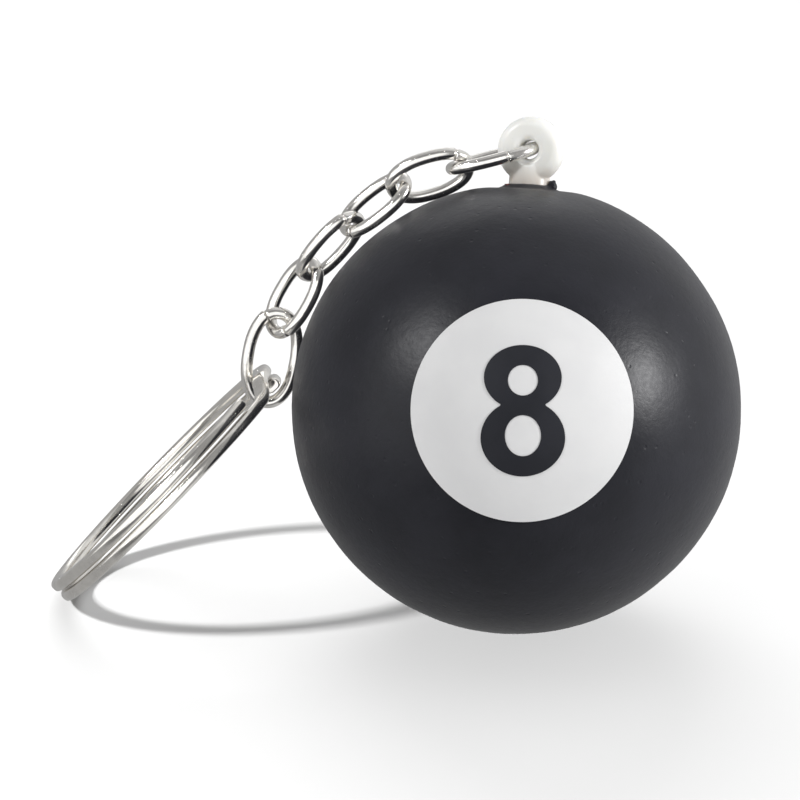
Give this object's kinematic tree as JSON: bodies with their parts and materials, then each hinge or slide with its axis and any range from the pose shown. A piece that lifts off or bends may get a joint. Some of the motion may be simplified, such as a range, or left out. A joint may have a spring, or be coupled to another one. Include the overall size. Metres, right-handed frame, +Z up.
{
  "type": "eight ball key ring",
  "caption": "Soft foam eight ball on a nylon eyelet, with a short chromed link chain and a split ring, standing on a flat under the ball.",
  "frame": {"origin": "middle of the ball's rest flat, on the ground", "axes": "+Z up, the printed side of the ball faces -Y, and the chain and the ring lie on the -X side"},
  "size_m": [0.0619, 0.0401, 0.0445],
  "materials": {
    "ball_skin": "matte",
    "foam": "matte",
    "white_ink": "matte",
    "black_ink": "matte",
    "glue": "satin",
    "nylon": "satin",
    "chain_wire": "polished",
    "ring_wire": "polished"
  },
  "bodies": {
    "ball": {"outer_skin": "ball_skin", "foam_core": "foam", "printed_disc": "white_ink", "printed_numeral": "black_ink", "glue_bead": "glue", "eyelet": "nylon"},
    "link_1": {"chain_link_1": "chain_wire"},
    "link_2": {"chain_link_2": "chain_wire"},
    "link_3": {"chain_link_3": "chain_wire"},
    "link_4": {"chain_link_4": "chain_wire"},
    "link_5": {"chain_link_5": "chain_wire"},
    "link_6": {"chain_link_6": "chain_wire"},
    "split_ring": {"split_ring": "ring_wire"}
  },
  "joints": [
    {"name": "eyelet_to_link_1", "type": "hinge", "parent": "ball", "child": "link_1", "pos_m": [0.00161, 0.00793, 0.04167], "axis": [0, 0.9455, -0.3256], "range_deg": [0, 35]},
    {"name": "link_1_to_link_2", "type": "hinge", "parent": "link_1", "child": "link_2", "pos_m": [-0.00508, 0.00758, 0.04003], "axis": [0, 0.9455, -0.3256], "range_deg": [0, 26]},
    {"name": "link_2_to_link_3", "type": "hinge", "parent": "link_2", "child": "link_3", "pos_m": [-0.01024, 0.00719, 0.03848], "axis": [0, 0.9455, -0.3256], "range_deg": [0, 40]},
    {"name": "link_3_to_link_4", "type": "hinge", "parent": "link_3", "child": "link_4", "pos_m": [-0.01484, 0.00716, 0.03482], "axis": [0, 0.9455, -0.3256], "range_deg": [0, 40]},
    {"name": "link_4_to_link_5", "type": "hinge", "parent": "link_4", "child": "link_5", "pos_m": [-0.01824, 0.00716, 0.03069], "axis": [0, 0.9455, -0.3256], "range_deg": [0, 30]},
    {"name": "link_5_to_link_6", "type": "hinge", "parent": "link_5", "child": "link_6", "pos_m": [-0.02138, 0.00689, 0.02533], "axis": [0, 0.9455, -0.3256], "range_deg": [0, 35]},
    {"name": "link_6_to_split_ring", "type": "hinge", "parent": "link_6", "child": "split_ring", "pos_m": [-0.02224, 0.00675, 0.02029], "axis": [0.051, 0.9856, -0.161], "range_deg": [-30, 60]}
  ]
}
